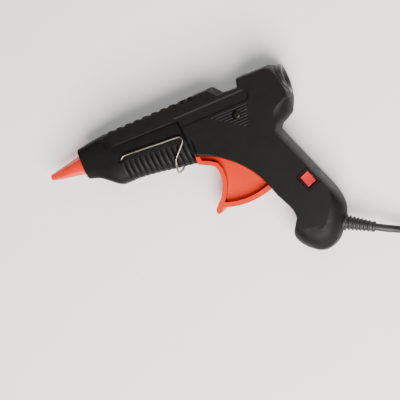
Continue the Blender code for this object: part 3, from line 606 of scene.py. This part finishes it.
class GLUEGUN_OT_camera(bpy.types.Operator):
    """Adds the camera, which looks down on the gun's left side."""
    bl_idname = "gluegun.camera"
    bl_label = "Camera"

    def execute(self, context):
        bpy.ops.object.camera_add(location=at(*CAMERA_PLACE))
        camera = context.object
        camera.name = "camera"
        camera.data.lens = 100.0
        camera.data.sensor_width = 36.0
        camera.data.clip_start = 0.05
        camera.data.dof.use_dof = False
        level = Vector((math.cos(CAMERA_TILT), 0.0, -math.sin(CAMERA_TILT)))
        top = Vector((0.0, 1.0, 0.0))
        back = (at(*CAMERA_PLACE) - at(*CAMERA_AIM)).normalized()
        right = level * math.cos(CAMERA_ROLL) - top * math.sin(CAMERA_ROLL)
        right = (right - back * right.dot(back)).normalized()
        up = back.cross(right)
        turn = Matrix((right, up, back)).transposed().to_4x4()
        camera.matrix_world = Matrix.Translation(at(*CAMERA_PLACE)) @ turn
        context.scene.camera = camera
        return {"FINISHED"}


def soft_light(name, place_mm, aim_mm, size_mm, watts, code="#ffffff"):
    """An area light that faces a place on the gun."""
    bpy.ops.object.light_add(type="AREA", location=at(*place_mm))
    light = bpy.context.object
    light.name = name
    light.data.shape = "SQUARE"
    light.data.size = size_mm * MM
    light.data.energy = watts
    light.data.color = linear(code)
    back = (at(*place_mm) - at(*aim_mm)).normalized()
    light.rotation_euler = back.to_track_quat("Z", "Y").to_euler()


class GLUEGUN_OT_stage(bpy.types.Operator):
    """Adds the pale floor and the soft studio light."""
    bl_idname = "gluegun.stage"
    bl_label = "Stage"

    def execute(self, context):
        bpy.ops.object.select_all(action="DESELECT")
        bpy.ops.mesh.primitive_plane_add(size=12.0, location=(0.0, 0.0, -0.0002))
        floor = context.object
        floor.name = "floor"
        made, tree, shader = new_material(
            "paper_white_matt", Base_Color=linear("#fdfdfd"), Roughness=0.9, Specular_IOR_Level=0.2,
        )
        bump(tree, shader, grain(tree, 1.2), 0.01, 0.2)
        floor.data.materials.append(made)
        world = bpy.data.worlds.new("studio")
        context.scene.world = world
        world.use_nodes = True
        tree = world.node_tree
        coordinates = add_node(tree, "ShaderNodeTexCoord")
        height = add_node(tree, "ShaderNodeSeparateXYZ", Vector=coordinates.outputs["Generated"])
        falling = add_node(
            tree, "ShaderNodeMapRange", {"interpolation_type": "SMOOTHSTEP"},
            Value=height.outputs["Z"], From_Min=0.2, From_Max=0.8, To_Min=0.42, To_Max=0.04,
        )
        background = tree.nodes["Background"]
        background.inputs["Color"].default_value = (1.0, 1.0, 1.0, 1.0)
        tree.links.new(falling.outputs["Result"], background.inputs["Strength"])
        middle = (105.0, -50.0, 0.0)
        soft_light("key", (260.0, -900.0, 1050.0), middle, 1200.0, 66.0, "#fffaf4")
        soft_light("beyond", (500.0, 900.0, 1200.0), middle, 1100.0, 9.0)
        return {"FINISHED"}


# ---------------------------------------------------------------- lead, strain relief and plug

BOOT_RIBS = 6
BOOT_PITCH = 2.65            # from one rib of the strain relief to the next
PLUG_SIDES = 48
TIE_HALF_WIDTH = 1.8
TIE_THICK = 1.1


class GLUEGUN_OT_lead(bpy.types.Operator):
    """Builds the strain relief, the lead with its tied coil, and the plug."""
    bl_idname = "gluegun.lead"
    bl_label = "Lead and plug"

    def execute(self, context):
        boot = self.strain_relief()
        plug = self.plug()
        tie = self.tie()
        lead = round_wire("lead", lead_route(), sizes().cord_diameter, 5)
        place(lead, "housing", "cord_rubber", "cord_lead", "cord_coil", "cord_tail")
        return {"FINISHED"}

    def strain_relief(self):
        """The tapered boot: a flange, rounded ribs that get smaller, and a collar at the lead's end."""
        profile = [
            (-6.0, 3.4), (-6.0, 4.2), (-1.2, 4.2), (-1.2, 5.7), (-0.9, 6.0), (1.3, 6.0), (1.7, 5.6),
            (1.8, 4.7),
        ]
        for rib in range(BOOT_RIBS):
            start = 3.0 + rib * BOOT_PITCH
            high, low = 5.3 - rib * 0.22, 4.3 - rib * 0.16
            profile += [
                (start - 0.3, low), (start - 0.05, high - 0.25), (start + 0.25, high),
                (start + 0.95, high), (start + 1.25, high - 0.25), (start + 1.5, low),
            ]
        profile += [
            (19.4, 3.3), (19.6, 3.75), (19.9, 3.95), (21.2, 3.85), (BOOT_END, 3.5), (BOOT_END, 2.78),
            (-6.0, 2.78),
        ]
        boot = turned("strain_relief_boot", at(*along_lead(0.0)), at(*along_lead(1.0)), profile, 40)
        smooth(boot, 40.0)
        place(boot, "housing", "cord_rubber", "strain_relief")
        return boot

    def plug(self):
        """The moulded plug: oval where the lead enters, flat and wide at its face."""
        rows = []
        for distance, wide, thick, square in (
            (0.0, 3.4, 3.4, 2.0), (0.5, 3.9, 3.9, 2.0), (6.0, 4.3, 4.3, 2.1), (12.0, 5.0, 4.9, 2.2),
            (15.0, 7.0, 5.7, 2.5), (18.0, 10.4, 6.4, 2.9), (21.0, 13.6, 6.75, 3.2), (25.0, 16.2, 6.9, 3.6),
            (29.0, 17.2, 6.9, 3.9), (33.0, 17.5, 6.9, 4.0), (35.0, 17.3, 6.7, 4.0), (35.7, 16.9, 6.4, 4.0),
            (36.0, 16.3, 5.9, 4.0),
        ):
            ring = []
            for i in range(PLUG_SIDES):
                turn = FULL_TURN * i / PLUG_SIDES
                c, s = math.cos(turn), math.sin(turn)
                across = wide * math.copysign(abs(c) ** (2 / square), c)
                rise = thick * math.copysign(abs(s) ** (2 / square), s)
                ring.append(at(PLUG_X + across, PLUG_Y + distance, PLUG_Z + rise))
            rows.append(ring)
        plug = skin("plug_moulding", rows)
        smooth(plug, 35.0)
        place(plug, "housing", "cord_rubber", "plug_body")
        return plug

    def tie(self):
        """A nylon cable tie round the coil, with its head and its cut tail on the outside."""
        x, y = COIL_CENTRE
        near, far = OUTER_TURN - 3 * TURN_STEP - LEAD_RADIUS - 0.1, OUTER_TURN + LEAD_RADIUS + 0.1
        low, high = LEAD_LIE - LEAD_RADIUS + 0.4, UPPER_LIE + LEAD_RADIUS + 0.1
        outer_high = LEAD_LIE + LEAD_RADIUS + 1.6
        way = [(near, low), (near - 0.4, LEAD_LIE), (near, high - 1.4), (near + 1.6, high)]
        way += [(far - 7.0, high), (far - 4.6, high - 1.6), (far, outer_high), (far + 0.4, LEAD_LIE)]
        way += [(far, low)]
        rows = []
        for i, (r, z) in enumerate(way):
            before, after = Vector(way[i - 1]), Vector(way[(i + 1) % len(way)])
            run = (after - before).normalized()
            out = Vector((-run.y, run.x))
            rows.append([
                at(x - (r + out.x * lift), y + side, z + out.y * lift)
                for side, lift in (
                    (-TIE_HALF_WIDTH, 0.0), (TIE_HALF_WIDTH, 0.0), (TIE_HALF_WIDTH, TIE_THICK),
                    (-TIE_HALF_WIDTH, TIE_THICK),
                )
            ])
        rows.append(rows[0])
        tie = skin("coil_tie", rows, capped=False)
        blocks = []
        for name, left, right, half, bottom, top, edge in (
            ("tie_head", -3.4, 0.2, 2.9, -11.6, -7.2, 0.6),
            ("tie_tail", -2.3, -1.2, TIE_HALF_WIDTH, -8.0, -3.5, 0.3),
        ):
            start, end = x - far + left, x - far + right
            outline = [(start, y - half), (end, y - half), (end, y + half), (start, y + half)]
            block = plate(name, outline, bottom, top)
            soften(block, edge, 2)
            blocks.append(block)
        joined([tie, *blocks], "coil_tie")
        smooth(tie, 35.0)
        give_finish(tie, "natural_nylon")
        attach(tie, "housing")
        return tie


# ---------------------------------------------------------------- housing

RIB_FIRST = 60.8             # middle of the foremost groove
RIB_COUNT = 14
RIB_HALF_SHARE = 0.47        # half of a groove's width, as a share of the pitch
RIB_FAN = 11                 # places along a groove from its upper end to the belly's middle
RIB_TOP = ((60.0, -10.0), (118.0, -13.9))   # line of the grooves' upper ends
RIB_SHARES = (-1.0, -0.7, -0.4, -0.16, 0.0, 0.16, 0.4, 0.7, 1.0)   # places across a groove
BARREL_HALF = 12.2           # half the width of the barrel's belly
RAY_START = 60.0             # a place clear of the barrel, from which its surface is looked for
SKIM = 0.02                  # how far a cutting tool stands off a surface that it meets
TOOL_ABOVE = 17.0            # a height clear of the gun's top
TOOL_OUT = 20.0              # a place clear of the gun's sides
SCALLOP_FIRST = 53.2
SCALLOP_COUNT = 9
SCALLOP_SHAPE = (
    (-2.3, 0.0), (-1.2, 0.25), (-0.4, 0.8), (0.1, 1.0), (0.7, 0.9), (1.9, 0.4), (3.0, 0.0),
)
RIDGE_TOP = 14.75
RIDGE_HALF = 3.0             # half the width of the ridge that the scallops notch
RIDGE_FOOT = ((50.5, 15.2), (55.0, 13.5), (126.6, 13.5), (127.6, 15.4))   # heights beside the ridge
PANEL_START = 108.0
PANEL_END = 160.6            # centre of the panel's round end
PANEL_Y = (-4.1, 4.6)
FLAT_SIDE = 15.0             # the housing's flat side
HATCH_TRIANGLE = ((132.0, -4.9), (162.0, -5.6), (156.5, -22.0))
HATCH_WIDTH = 1.3
HATCH_DEPTH = 0.34
HATCH_END_DEPTH = 0.05       # depth of a line at its very end
HATCH_FADE = 0.7             # length over which a line's end gets shallower
HATCH_SHORTEST = 2.0         # no line is shorter
LEDGE_CHAMFER = 0.9
LEDGE_BOX = ((56.0, 107.0), (2.0, 3.0))   # where the ledge's edge runs, in x and y
POCKET_RADIUS = 1.9
POCKET_FLOOR = 10.9          # distance of a pocket's floor from the gun's middle
PANEL_SLOPE = 1.1            # how far the panel's walls lean in


def rib_top_y(x):
    """Where the belly groove at x begins."""
    (x0, y0), (x1, y1) = RIB_TOP
    return y0 + (y1 - y0) * (x - x0) / (x1 - x0)


def rib_groove(x):
    """A tool that cuts one belly groove, from one flank round the bottom to the other."""
    top = rib_top_y(x)
    half = sizes().rib_pitch / MM * RIB_HALF_SHARE
    deep = sizes().rib_groove
    shape = [(share, 1 - math.sqrt(1 - (1 - abs(share)) ** 2)) for share in RIB_SHARES]
    rows = []
    for step in range(RIB_FAN):
        turn = math.radians(90.0 * step / (RIB_FAN - 1))
        out = Vector((0.0, -math.sin(turn), math.cos(turn)))
        full = deep * eased(step, -0.6, 1.6)
        row = []
        for share, depth in shape:
            centre = at(x + share * half, top, 0.0)
            found, spot, _, _ = NODES["left_shell"].ray_cast(centre + out * RAY_START * MM, -out)
            here = full
            if not found or spot.z < centre.z:
                spot = rows[-1][len(row)] if rows else centre + out * BARREL_HALF * MM
                spot = centre + out * (spot - centre).length
                here = 0.0
            row.append(spot - out * (depth * here - SKIM * MM))
        lifted = [row[-1] + out * 1.5 * MM, row[0] + out * 1.5 * MM]
        rows.append(row + lifted)
    mirrored = [
        [Vector((spot.x, spot.y, 2 * ORIGIN.z - spot.z)) for spot in row] for row in reversed(rows[:-1])
    ]
    return skin("rib_groove", rows + mirrored)


def top_scallops():
    """A tool that notches the top ridge across its whole width."""
    deep = sizes().scallop_depth / MM
    tools = []
    for k in range(SCALLOP_COUNT):
        x = SCALLOP_FIRST + k * sizes().scallop_pitch / MM
        notch = [(x + dx, RIDGE_TOP - deep * share) for dx, share in SCALLOP_SHAPE]
        over = [(x + SCALLOP_SHAPE[i][0], TOOL_ABOVE) for i in (-1, 0)]
        tools.append(plate("notch", notch + over, -TOOL_OUT, TOOL_OUT))
    return joined(tools, "top_scallops")


def ridge_shoulders():
    """A tool that lowers the top beside its middle, which leaves the notched ridge standing."""
    tools = []
    for side in (-1, 1):
        rows = []
        for x, y in RIDGE_FOOT:
            section = (
                (RIDGE_HALF, TOOL_ABOVE), (RIDGE_HALF + 0.5, y), (TOOL_OUT, y - 0.7),
                (TOOL_OUT, TOOL_ABOVE),
            )
            rows.append([at(x, height, side * out) for out, height in section])
        tools.append(skin("shoulder", rows))
    return joined(tools, "ridge_shoulders")


def side_panels():
    """A tool that sets the long panel into each side."""
    low, high = PANEL_Y
    middle, radius = (low + high) / 2, (high - low) / 2
    deep = sizes().panel_depth / MM
    tools = []
    for side in (-1, 1):
        rows = []
        for inwards, z in (
            (PANEL_SLOPE, FLAT_SIDE - deep), (0.0, FLAT_SIDE + SKIM), (0.0, FLAT_SIDE + 3.0),
        ):
            r = radius - inwards
            outline = [(PANEL_START + inwards, middle - r)] + arc((PANEL_END, middle), r, -90, 90, 20)
            outline += [(PANEL_START + inwards, middle + r)]
            rows.append([at(x, y, side * z) for x, y in outline])
        tools.append(skin("panel", rows))
    return joined(tools, "side_panels")


def side_hatching():
    """A tool that cuts the fine lines on each side, which fill a triangle."""
    (ax, ay), (bx, by), (cx, cy) = HATCH_TRIANGLE
    tools = []
    pitch = sizes().line_pitch / MM
    half = HATCH_WIDTH / 2
    line = by - 0.5
    while line > cy:
        start = ax + (cx - ax) * (ay - line) / (ay - cy)
        end = bx + (cx - bx) * (by - line) / (by - cy)
        if end - start > HATCH_SHORTEST:
            for side in (-1, 1):
                rows = []
                for x, deep in (
                    (start, HATCH_END_DEPTH), (start + HATCH_FADE, HATCH_DEPTH),
                    (end - HATCH_FADE, HATCH_DEPTH), (end, HATCH_END_DEPTH),
                ):
                    section = ((-half, SKIM), (0.0, -deep), (half, SKIM), (half, 2.0), (-half, 2.0))
                    rows.append([at(x, line + dy, side * (FLAT_SIDE + dz)) for dy, dz in section])
                tools.append(skin("line", rows))
        line -= pitch
    return joined(tools, "side_hatching")


def pivot_pockets():
    """A tool for the small pockets in which the stand's wire ends turn."""
    outline = arc((61.6, -7.2), POCKET_RADIUS, -65, 115, 8) + arc((59.0, -8.4), POCKET_RADIUS, 115, 295, 8)
    near = plate("pocket", outline, POCKET_FLOOR, TOOL_OUT)
    far = plate("pocket_far", outline, -TOOL_OUT, -POCKET_FLOOR)
    return joined([near, far], "pivot_pockets")


def break_edge(shell):
    """Chamfers the long lower edge of the upper housing, which stands out over the barrel."""
    edit(shell, select="NONE", kind="EDGE")
    (back, front), (low, high) = LEDGE_BOX
    mesh = bmesh.from_edit_mesh(shell.data)
    for edge in mesh.edges:
        ends = [(vertex.co - ORIGIN) / MM for vertex in edge.verts]
        edge.select = all(
            back < end.x < front and low < end.y < high and abs(end.z) > FLAT_SIDE - 0.05 for end in ends
        )
    bmesh.update_edit_mesh(shell.data)
    bpy.ops.mesh.bevel(offset=LEDGE_CHAMFER * MM, segments=2, affect="EDGES")
    bpy.ops.object.mode_set(mode="OBJECT")


class GLUEGUN_OT_housing(bpy.types.Operator):
    """Cuts the ribs, the scalloped ridge, the panels and the hatching into the two housing halves."""
    bl_idname = "gluegun.housing"
    bl_label = "Housing"

    def execute(self, context):
        grooves = [rib_groove(RIB_FIRST + k * sizes().rib_pitch / MM) for k in range(RIB_COUNT)]
        tools = [
            joined(grooves, "belly_grooves"), ridge_shoulders(), top_scallops(), side_panels(),
            side_hatching(), pivot_pockets(),
        ]
        for node, name in (("left_shell", "housing_left"), ("right_shell", "housing_right")):
            shell = merged_copy(node, name)
            for tool in tools:
                apply_modifier(shell, "BOOLEAN", object=tool, operation="DIFFERENCE", solver="EXACT")
            break_edge(shell)
            smooth(shell, 23.0)
            place(shell, "housing", "housing_abs", node)
        for tool in tools:
            bpy.data.objects.remove(tool)
        return {"FINISHED"}


# ---------------------------------------------------------------- nozzle cover, trigger, stand, switch

COVER_FLATS = 6
CORNER_CUT = 1.06            # flats this much further out than between sharp corners, which rounds them


class GLUEGUN_OT_nozzle_cover(bpy.types.Operator):
    """Builds the silicone cone over the nozzle, with its flats and its collar."""
    bl_idname = "gluegun.nozzle_cover"
    bl_label = "Nozzle cover"

    def execute(self, context):
        rows = []
        outside = (
            (0.4, 1.9, 0.0), (0.7, 2.3, 0.2), (1.6, 2.6, 0.6), (2.4, 2.75, 1.0), (26.0, 7.1, 1.0),
            (29.6, 7.5, 0.45), (31.0, 7.5, 0.2), (33.4, 7.4, 0.0), (33.5, 8.7, 0.0), (35.3, 8.8, 0.0),
            (35.4, 8.6, 0.0), (35.4, 5.35, 0.0), (26.0, 5.3, 0.0), (2.0, 1.75, 0.0), (0.4, 1.6, 0.0),
        )
        sides = COVER_FLATS * 10
        flat_turn = FULL_TURN / COVER_FLATS
        for x, radius, flat in outside:
            ring = []
            for i in range(sides):
                turn = FULL_TURN * i / sides
                within = (turn + flat_turn / 2) % flat_turn - flat_turn / 2
                inner = math.cos(flat_turn / 2) / math.cos(within)
                r = radius * min(1.0, 1 + flat * (inner * CORNER_CUT - 1))
                ring.append(at(x, r * math.sin(turn), r * math.cos(turn)))
            rows.append(ring)
        rows.append(rows[0])
        cover = skin("nozzle_cover_cone", rows, capped=False)
        smooth(cover, 24.0, weighted=False)
        place(cover, "housing", "orange_silicone", "nozzle_cover")
        return {"FINISHED"}


class GLUEGUN_OT_trigger(bpy.types.Operator):
    """Rounds the trigger's edges as its mould does."""
    bl_idname = "gluegun.trigger"
    bl_label = "Trigger"

    def execute(self, context):
        trigger = merged_copy("trigger", "trigger_moulding")
        flatten(trigger)
        soften(trigger, sizes().trigger_edge / MM, 3, 40.0)
        smooth(trigger, 40.0)
        place(trigger, "trigger", "orange_plastic", "trigger")
        return {"FINISHED"}


# The wire's middle from its left end in the barrel to the bottom of its bow
STAND_ROUTE = (
    (60.0, -8.0, 10.6), (60.0, -8.0, 12.4), (60.9, -7.4, 13.5), (63.7, -5.9, 13.6),
    (75.0, -6.5, 13.6), (90.0, -7.6, 13.6), (104.6, -8.6, 13.6), (107.6, -10.0, 13.6),
    (107.8, -12.8, 13.6), (103.5, -17.4, 13.6), (98.8, -22.2, 13.6), (97.0, -26.2, 12.6),
    (95.4, -29.8, 9.2), (93.9, -31.8, 4.2), (93.5, -32.2, 0.0),
)


class GLUEGUN_OT_stand(bpy.types.Operator):
    """Bends the wire stand along its way, with round bends."""
    bl_idname = "gluegun.stand"
    bl_label = "Wire stand"

    def execute(self, context):
        other = [(x, y, -z) for x, y, z in reversed(STAND_ROUTE[:-1])]
        route = flowing(list(STAND_ROUTE) + other, 4)
        stand = round_wire("wire_stand_bend", route, sizes().wire_diameter, 4)
        place(stand, "stand", "bright_wire", "wire_stand")
        return {"FINISHED"}


class GLUEGUN_OT_switch(bpy.types.Operator):
    """Rounds the edges of the switch's frame and of its rocker."""
    bl_idname = "gluegun.switch"
    bl_label = "Switch"

    def execute(self, context):
        body = merged_copy("switch_body", "switch_frame")
        flatten(body)
        soften(body, 0.3, 2)
        smooth(body, 35.0)
        place(body, "housing", "housing_abs", "switch_body")
        rocker = merged_copy("switch_rocker", "rocker")
        flatten(rocker)
        soften(rocker, 0.35, 3)
        smooth(rocker, 35.0)
        place(rocker, "rocker", "red_plastic", "switch_rocker")
        return {"FINISHED"}


class GLUEGUN_OT_inlet_ring(bpy.types.Operator):
    """Builds the ring in the rear through which the sticks go in, with its flared mouth."""
    bl_idname = "gluegun.inlet_ring"
    bl_label = "Inlet ring"

    def execute(self, context):
        profile = [
            (164.0, 7.6), (180.5, 7.6), (180.5, 9.0), (187.3, 9.0), (187.3, 11.0), (190.0, 11.0),
            (190.5, 10.9), (190.9, 10.6), (191.2, 10.1), (191.2, 9.3), (190.9, 8.7), (190.0, 7.9),
            (188.9, 7.0), (187.8, 6.6), (186.0, 6.5), (164.0, 6.5),
        ]
        ring = turned("inlet_ring_moulding", at(0.0, 0.0), at(1.0, 0.0), profile, 64)
        smooth(ring, 30.0)
        place(ring, "housing", "black_nylon", "inlet_ring")
        return {"FINISHED"}


# ---------------------------------------------------------------- the pieces inside

NODE_FINISHES = {
    "natural_nylon": ("feed_carriage", "crimp_1", "crimp_2", "cord_clamp"),
    "bright_steel": ("trigger_pivot", "jaw_pin", "grip_jaw", "valve_ball"),
    "spring_steel": ("return_spring", "valve_spring", "sleeve_clip"),
    "zinc_steel": ("clamp_screw_1", "clamp_screw_2", "heater_clamp"),
    "blackened_steel": (
        "housing_screw_right_1", "housing_screw_right_2", "housing_screw_right_3",
        "housing_screw_left",
    ),
    "brass": (
        "nozzle", "contact_plate_upper", "contact_plate_lower", "switch_terminal_1",
        "switch_terminal_2", "plug_pin_1", "plug_pin_2",
    ),
    "cast_aluminium": ("melt_chamber",),
    "ceramic": ("ptc_heater",),
    "insulating_cloth": ("heater_insulation",),
    "white_silicone": ("inlet_sleeve",),
    "cord_rubber": ("cord_inner",),
    "brown_wire": ("wire_live", "wire_load"),
    "blue_wire": ("wire_neutral",),
}


class GLUEGUN_OT_inner_parts(bpy.types.Operator):
    """Gives the heater, the feed, the wiring and the screws their finishes."""
    bl_idname = "gluegun.inner_parts"
    bl_label = "Inner parts"

    def execute(self, context):
        for slot, nodes in NODE_FINISHES.items():
            for name in nodes:
                node = NODES[name]
                node.data.materials.clear()
                node.data.materials.append(FINISHES[slot])
        return {"FINISHED"}


# ---------------------------------------------------------------- panel and registration

PIECE_OPERATORS = (
    GLUEGUN_OT_camera, GLUEGUN_OT_lead, GLUEGUN_OT_housing, GLUEGUN_OT_nozzle_cover,
    GLUEGUN_OT_trigger, GLUEGUN_OT_stand, GLUEGUN_OT_switch, GLUEGUN_OT_inlet_ring,
    GLUEGUN_OT_inner_parts, GLUEGUN_OT_stage,
)


class GLUEGUN_PT_sidebar(bpy.types.Panel):
    """Sizes, colours and the step for each piece."""
    bl_idname = "GLUEGUN_PT_sidebar"
    bl_label = "Glue Gun"
    bl_space_type = "VIEW_3D"
    bl_region_type = "UI"
    bl_category = "Glue Gun"

    def draw(self, context):
        for group in (context.scene.glue_gun_sizes, context.scene.glue_gun_colours):
            box = self.layout.box()
            for name in group.__annotations__:
                box.prop(group, name)
        for operator in PIECE_OPERATORS:
            self.layout.operator(operator.bl_idname)


CLASSES = (GlueGunSizes, GlueGunColours, *PIECE_OPERATORS, GLUEGUN_PT_sidebar)


def register():
    for item in CLASSES:
        bpy.utils.register_class(item)
    bpy.types.Scene.glue_gun_sizes = bpy.props.PointerProperty(type=GlueGunSizes)
    bpy.types.Scene.glue_gun_colours = bpy.props.PointerProperty(type=GlueGunColours)


def unregister():
    del bpy.types.Scene.glue_gun_colours
    del bpy.types.Scene.glue_gun_sizes
    for item in reversed(CLASSES):
        bpy.utils.unregister_class(item)


def main():
    register()
    FINISHES.update(finishes())
    for operator in PIECE_OPERATORS:
        group, name = operator.bl_idname.split(".")
        getattr(getattr(bpy.ops, group), name)()
    bpy.ops.object.select_all(action="DESELECT")


if __name__ == "__main__":
    main()
